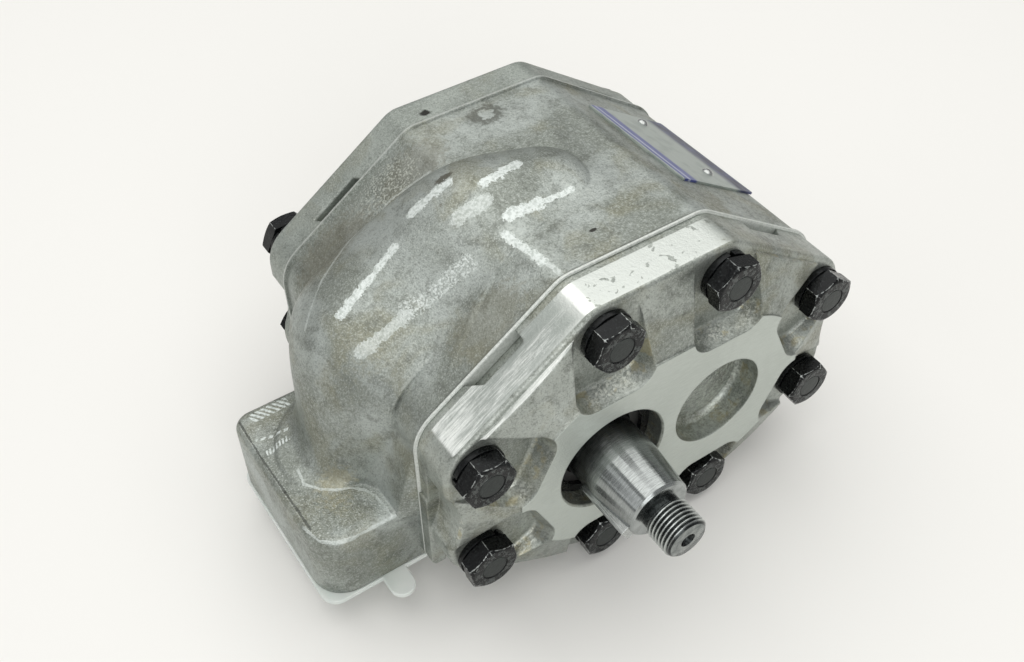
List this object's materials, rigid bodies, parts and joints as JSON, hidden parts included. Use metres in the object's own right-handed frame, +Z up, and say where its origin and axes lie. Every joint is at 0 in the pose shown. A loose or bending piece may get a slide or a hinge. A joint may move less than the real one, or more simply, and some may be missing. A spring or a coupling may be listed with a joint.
{
  "type": "hydraulic pump",
  "caption": "External gear pump with a cast octagonal body, bolted covers, a keyed tapered drive shaft and a capped port foot on its left side.",
  "frame": {"origin": "on the drive shaft's axis, in the plane of the machined land of the front cover", "axes": "-Y along the drive shaft, out of its driven end; +X from the drive gear to the idler gear; +Z up"},
  "size_m": [0.1994, 0.1754, 0.1277],
  "materials": {
    "body_casting": "as-cast aluminium, fine grain, filed marks on the duct",
    "cover_casting": "die-cast aluminium with machined land and filed edges",
    "ground_steel": "ground and polished",
    "key_steel": "bright drawn steel",
    "spring_steel": "phosphated spring steel",
    "black_steel": "black oxide with worn edges",
    "seal_rubber": "black nitrile rubber",
    "backup_plastic": "natural polymer",
    "white_plastic": "milky polyethylene",
    "plate_aluminium": "printed aluminium sheet, left bare of text",
    "block_aluminium": "extruded and turned",
    "bush_bronze": "sintered bronze lining"
  },
  "bodies": {
    "casing": {"pump_body": "body_casting", "front_cover": "cover_casting", "rear_cover": "cover_casting", "shaft_seal": "seal_rubber", "seal_garter_spring": "key_steel", "seal_retaining_ring": "spring_steel", "front_cover_seal": "seal_rubber", "rear_cover_seal": "seal_rubber", "front_bolts": "black_steel", "rear_bolts": "black_steel", "front_lock_washers": "black_steel", "rear_lock_washers": "black_steel", "dowel_pins": "ground_steel", "nameplate": "plate_aluminium", "nameplate_rivets": "key_steel", "front_bearing_block": "block_aluminium", "rear_bearing_block": "block_aluminium", "front_pressure_seal": "seal_rubber", "rear_pressure_seal": "seal_rubber", "front_backup_ring": "backup_plastic", "rear_backup_ring": "backup_plastic", "drive_front_bush": "bush_bronze", "idler_front_bush": "bush_bronze", "drive_rear_bush": "bush_bronze", "idler_rear_bush": "bush_bronze", "pressure_port_seal": "seal_rubber", "suction_port_seal": "seal_rubber"},
    "drive": {"drive_gear_shaft": "ground_steel", "shaft_key": "key_steel"},
    "idler": {"idler_gear_shaft": "ground_steel"},
    "port_cap": {"port_cover": "white_plastic"}
  },
  "joints": [
    {"name": "drive_rotation", "type": "hinge", "parent": "casing", "child": "drive", "pos_m": [0, 0, 0], "axis": [0, -1, 0], "continuous": true},
    {"name": "idler_rotation", "type": "hinge", "parent": "casing", "child": "idler", "pos_m": [0.0444, 0, 0], "axis": [0, -1, 0], "continuous": true},
    {"name": "port_cover_pull", "type": "slide", "parent": "casing", "child": "port_cap", "axis": [0, 0, -1], "range_m": [0, 0.06]}
  ],
  "couplings": [
    {"joint": "idler_rotation", "follows": "drive_rotation", "ratio": -1}
  ]
}
